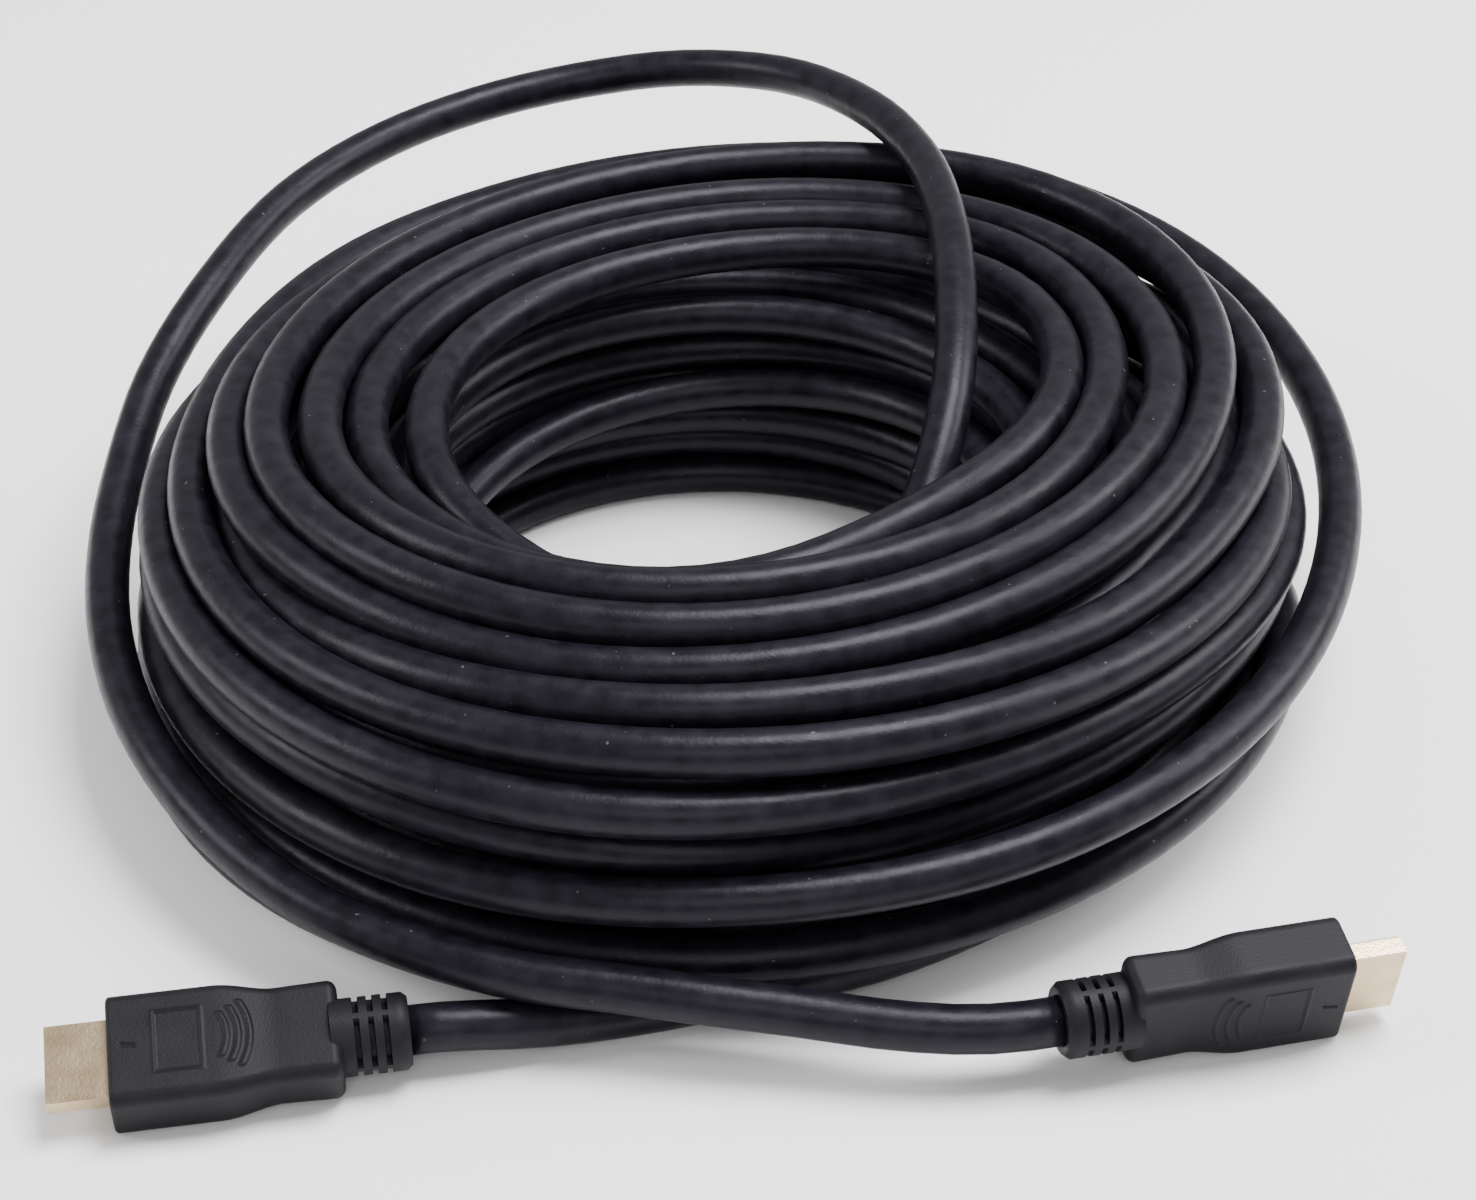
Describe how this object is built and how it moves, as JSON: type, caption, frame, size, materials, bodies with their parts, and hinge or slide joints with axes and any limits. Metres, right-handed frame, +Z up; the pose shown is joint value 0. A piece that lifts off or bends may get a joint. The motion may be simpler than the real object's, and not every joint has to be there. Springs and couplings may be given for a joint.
{
  "type": "hdmi cable",
  "caption": "Long round black HDMI cable wound in a thick loose coil that lies flat, with one loose turn over it and a moulded plug with a gold shell at each end in front.",
  "frame": {"origin": "bottom centre of the bounding box of the whole cable as it lies on the floor; the coil's own axis stands 4.1 mm to +X and 8.7 mm to -Y of it", "axes": "+Z up along the coil's axis, -Y towards the two plugs in front, +X towards the right-hand plug"},
  "size_m": [0.227, 0.2794, 0.0695],
  "materials": {
    "cable_jacket": "satin black PVC jacket with a faint blue-violet cast and fine scuffs",
    "overmould": "matte black moulded PVC",
    "plug_shell": "champagne gold plated steel shell",
    "contact_carrier": "black moulded insulator",
    "contacts": "gold plated contacts"
  },
  "bodies": {
    "root": {"cable_coil": "cable_jacket", "cable_left_end": "cable_jacket", "cable_loose_turn": "cable_jacket", "left_plug_overmould": "overmould", "left_plug_shell": "plug_shell", "left_plug_contact_carrier": "contact_carrier", "left_plug_upper_contact_1": "contacts", "left_plug_upper_contact_2": "contacts", "left_plug_upper_contact_3": "contacts", "left_plug_upper_contact_4": "contacts", "left_plug_upper_contact_5": "contacts", "left_plug_upper_contact_6": "contacts", "left_plug_upper_contact_7": "contacts", "left_plug_upper_contact_8": "contacts", "left_plug_upper_contact_9": "contacts", "left_plug_upper_contact_10": "contacts", "left_plug_lower_contact_1": "contacts", "left_plug_lower_contact_2": "contacts", "left_plug_lower_contact_3": "contacts", "left_plug_lower_contact_4": "contacts", "left_plug_lower_contact_5": "contacts", "left_plug_lower_contact_6": "contacts", "left_plug_lower_contact_7": "contacts", "left_plug_lower_contact_8": "contacts", "left_plug_lower_contact_9": "contacts", "right_plug_overmould": "overmould", "right_plug_shell": "plug_shell", "right_plug_contact_carrier": "contact_carrier", "right_plug_upper_contact_1": "contacts", "right_plug_upper_contact_2": "contacts", "right_plug_upper_contact_3": "contacts", "right_plug_upper_contact_4": "contacts", "right_plug_upper_contact_5": "contacts", "right_plug_upper_contact_6": "contacts", "right_plug_upper_contact_7": "contacts", "right_plug_upper_contact_8": "contacts", "right_plug_upper_contact_9": "contacts", "right_plug_upper_contact_10": "contacts", "right_plug_lower_contact_1": "contacts", "right_plug_lower_contact_2": "contacts", "right_plug_lower_contact_3": "contacts", "right_plug_lower_contact_4": "contacts", "right_plug_lower_contact_5": "contacts", "right_plug_lower_contact_6": "contacts", "right_plug_lower_contact_7": "contacts", "right_plug_lower_contact_8": "contacts", "right_plug_lower_contact_9": "contacts"}
  },
  "joints": []
}
